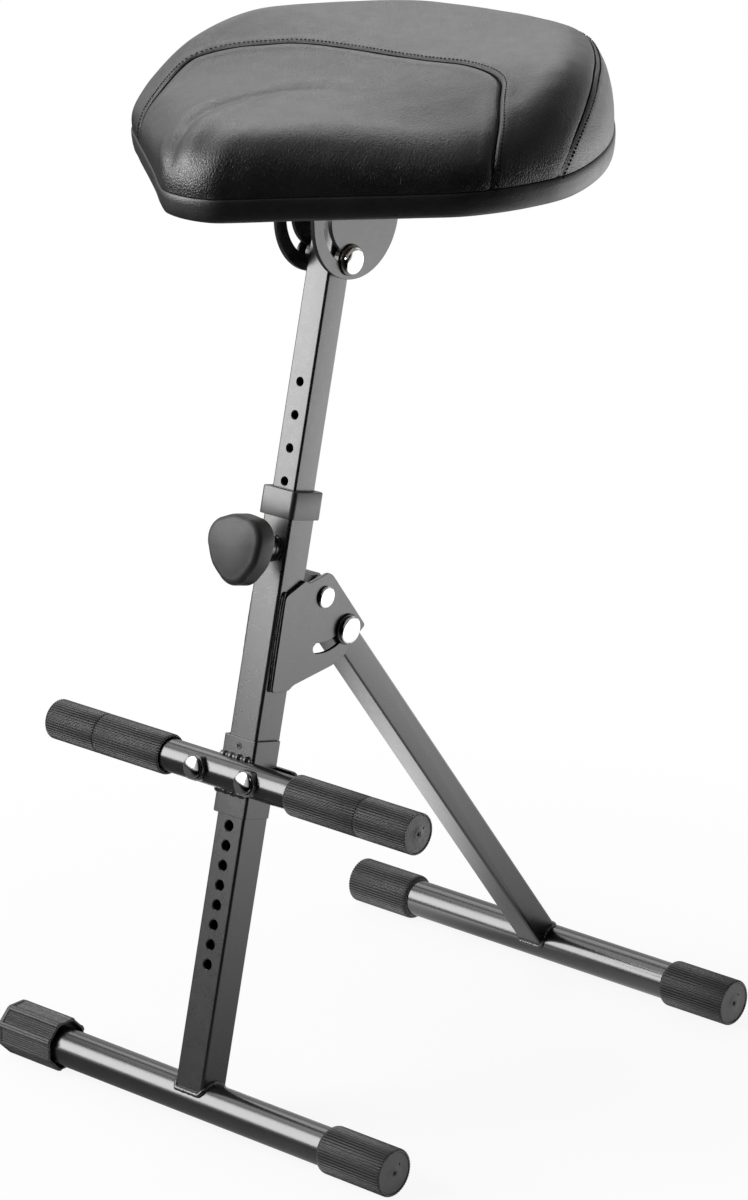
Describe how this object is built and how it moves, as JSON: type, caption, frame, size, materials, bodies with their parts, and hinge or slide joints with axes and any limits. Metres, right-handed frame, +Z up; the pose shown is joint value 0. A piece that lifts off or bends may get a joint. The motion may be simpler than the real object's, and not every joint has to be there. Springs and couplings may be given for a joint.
{
  "type": "sit-stand stool",
  "caption": "Folding sit-stand stool: leaning square leg on a tube base, hinged rear strut, height post with screw lock, sliding footrest and tilting padded saddle seat.",
  "frame": {"origin": "on the floor, under the middle of the box around the whole stool", "axes": "+X along the base tubes to the sitter's left, -Y to the sitter's front where the footrest is, +Z up"},
  "size_m": [0.43, 0.4889, 0.8722],
  "materials": {
    "black_coat": "satin powder coat",
    "bright_chrome": "polished",
    "zinc_steel": "zinc plated",
    "ribbed_rubber": "matte, finely ribbed",
    "black_plastic": "matte moulded",
    "leatherette": "grained leatherette over foam",
    "plywood": "bare plywood"
  },
  "bodies": {
    "frame": {"front_base_tube": "black_coat", "front_cap_right": "ribbed_rubber", "main_leg": "black_coat", "leg_collar": "black_plastic", "lock_boss": "black_coat", "fold_plate_left": "black_coat", "fold_plate_right": "black_coat", "fold_rivet": "zinc_steel"},
    "level_foot": {"level_cap": "ribbed_rubber"},
    "strut": {"strut_tube": "black_coat", "rear_base_tube": "black_coat", "rear_cap_left": "ribbed_rubber", "rear_cap_right": "ribbed_rubber", "pivot_spacer_left": "black_plastic", "pivot_spacer_right": "black_plastic", "fold_bolt": "bright_chrome", "fold_nut": "black_plastic", "fold_washer_left": "black_plastic", "fold_washer_right": "black_plastic"},
    "lock_slide": {"lock_pin": "zinc_steel"},
    "lock_turn": {"lock_spindle": "zinc_steel", "lock_knob": "black_plastic"},
    "post": {"seat_post": "black_coat", "post_glide": "black_plastic", "seat_pivot_pin": "zinc_steel", "hinge_spacer_left": "black_plastic", "hinge_spacer_right": "black_plastic", "clamp_spacer_left": "black_plastic", "clamp_spacer_right": "black_plastic", "clamp_bolt": "bright_chrome", "clamp_nut": "black_plastic", "clamp_washer_left": "black_plastic", "clamp_washer_right": "black_plastic"},
    "seat": {"seat_bracket": "black_coat", "seat_board": "plywood", "seat_band": "leatherette", "seat_cushion": "leatherette", "seat_screw_front_left": "zinc_steel", "seat_screw_front_right": "zinc_steel", "seat_screw_back_left": "zinc_steel", "seat_screw_back_right": "zinc_steel", "rim_pad_nose_left": "ribbed_rubber", "rim_pad_nose_right": "ribbed_rubber", "rim_pad_side_left": "ribbed_rubber", "rim_pad_side_right": "ribbed_rubber"},
    "footrest": {"footrest_sleeve": "black_coat", "locating_stud": "black_coat", "footrest_tube": "black_coat", "grip_cap_left": "ribbed_rubber", "grip_cap_right": "ribbed_rubber", "grip_sleeve_left": "ribbed_rubber", "grip_sleeve_right": "ribbed_rubber", "bolt_collar_left": "black_plastic", "bolt_collar_right": "black_plastic", "footrest_bolt_left": "bright_chrome", "footrest_bolt_right": "bright_chrome", "footrest_nut_left": "zinc_steel", "footrest_nut_right": "zinc_steel", "clamp_bar": "black_coat"}
  },
  "joints": [
    {"name": "level_cap_turn", "type": "hinge", "parent": "frame", "child": "level_foot", "pos_m": [-0.181, -0.2233, 0.02025], "axis": [1, 0, 0], "continuous": true},
    {"name": "rear_leg_fold", "type": "hinge", "parent": "frame", "child": "strut", "pos_m": [0, -0.0851, 0.42521], "axis": [1, 0, 0], "range_deg": [-50.5, 0]},
    {"name": "lock_advance", "type": "slide", "parent": "frame", "child": "lock_slide", "axis": [0, -0.972, 0.2351], "range_m": [0, 0.006]},
    {"name": "knob_turn", "type": "hinge", "parent": "lock_slide", "child": "lock_turn", "pos_m": [0, -0.15312, 0.48045], "axis": [0, -0.972, 0.2351], "range_deg": [0, 1440]},
    {"name": "height_slide", "type": "slide", "parent": "frame", "child": "post", "axis": [0, 0.2351, 0.972], "range_m": [-0.136, 0.1088]},
    {"name": "seat_tilt", "type": "hinge", "parent": "post", "child": "seat", "pos_m": [0, -0.04976, 0.73756], "axis": [1, 0, 0], "range_deg": [-4, 45]},
    {"name": "footrest_slide", "type": "slide", "parent": "frame", "child": "footrest", "axis": [0, 0.2351, 0.972], "range_m": [-0.18425, 0]}
  ],
  "couplings": [
    {"joint": "knob_turn", "follows": "lock_advance", "rad_per_m": 4188.7}
  ]
}
